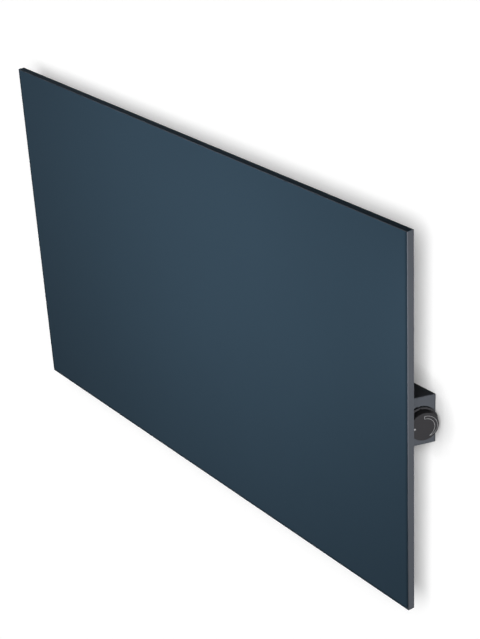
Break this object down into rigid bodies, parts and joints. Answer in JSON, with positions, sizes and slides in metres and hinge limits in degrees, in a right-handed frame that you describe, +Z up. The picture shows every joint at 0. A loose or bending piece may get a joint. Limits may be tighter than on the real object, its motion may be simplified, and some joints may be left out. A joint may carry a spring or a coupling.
{
  "type": "infrared panel heater",
  "caption": "Thin flat wall-hung infrared panel heater with a slim folded rear housing, a thermostat knob on its slanted right end and a hook-on wall rail.",
  "frame": {"origin": "centre of the wall rail's four screw holes, on the wall plane, behind the centre of the panel", "axes": "+X to the right seen from the room, along the panel's long side; +Y into the wall, square to the panel; +Z up"},
  "size_m": [1.0058, 0.06, 0.6],
  "materials": {
    "panel_coat": "matte",
    "housing_coat": "matte",
    "galvanised": "satin",
    "zinc_steel": "satin",
    "spring_steel": "polished",
    "foil": "polished",
    "film": "satin",
    "track_alloy": "satin",
    "copper": "satin",
    "brass": "satin",
    "fibre_board": "matte",
    "knob_plastic": "satin",
    "bezel_plastic": "satin",
    "gland_plastic": "matte",
    "switch_plastic": "matte",
    "terminal_plastic": "satin",
    "lever_plastic": "satin",
    "bakelite": "satin",
    "grommet_silicone": "matte",
    "seal_rubber": "matte",
    "wire_brown": "satin",
    "wire_blue": "satin",
    "wire_earth": "satin"
  },
  "bodies": {
    "rail": {"wall_rail": "galvanised"},
    "heater": {"front_panel": "panel_coat", "carrier_film": "film", "heating_track": "track_alloy", "track_pads": "copper", "cover_film": "film", "reflector_foil": "foil", "insulation_board": "fibre_board", "back_plate": "galvanised", "rear_housing": "housing_coat", "housing_plate": "galvanised", "housing_screws": "zinc_steel", "compartment_divider": "galvanised", "control_cover": "galvanised", "cover_pillars": "zinc_steel", "cover_screws": "zinc_steel", "thermostat_plate": "zinc_steel", "thermostat_body": "switch_plastic", "thermostat_screws": "zinc_steel", "thermostat_tabs": "brass", "sensor_bulb": "copper", "bulb_clip": "zinc_steel", "capillary_tube": "copper", "control_bezel": "bezel_plastic", "terminal_block": "terminal_plastic", "terminal_levers": "lever_plastic", "cutout_cap": "foil", "cutout_body": "bakelite", "cutout_tabs": "brass", "lead_grommet": "grommet_silicone", "earth_stud": "zinc_steel", "earth_nut": "brass", "gland_body": "gland_plastic", "gland_locknut": "gland_plastic", "gland_seal": "seal_rubber", "gland_cap": "gland_plastic", "live_lead": "wire_brown", "switched_lead": "wire_brown", "element_lead_upper": "wire_brown", "element_lead_lower": "wire_blue", "earth_lead": "wire_earth"},
    "knob": {"knob": "knob_plastic", "knob_spring": "spring_steel", "thermostat_shaft": "zinc_steel"}
  },
  "joints": [
    {"name": "lift_off", "type": "slide", "parent": "rail", "child": "heater", "axis": [0, 0, 1], "range_m": [0, 0.008]},
    {"name": "thermostat_turn", "type": "hinge", "parent": "heater", "child": "knob", "pos_m": [0.48532, -0.02302, -0.0031], "axis": [0.9511, -0.309, 0], "range_deg": [0, 270]}
  ]
}
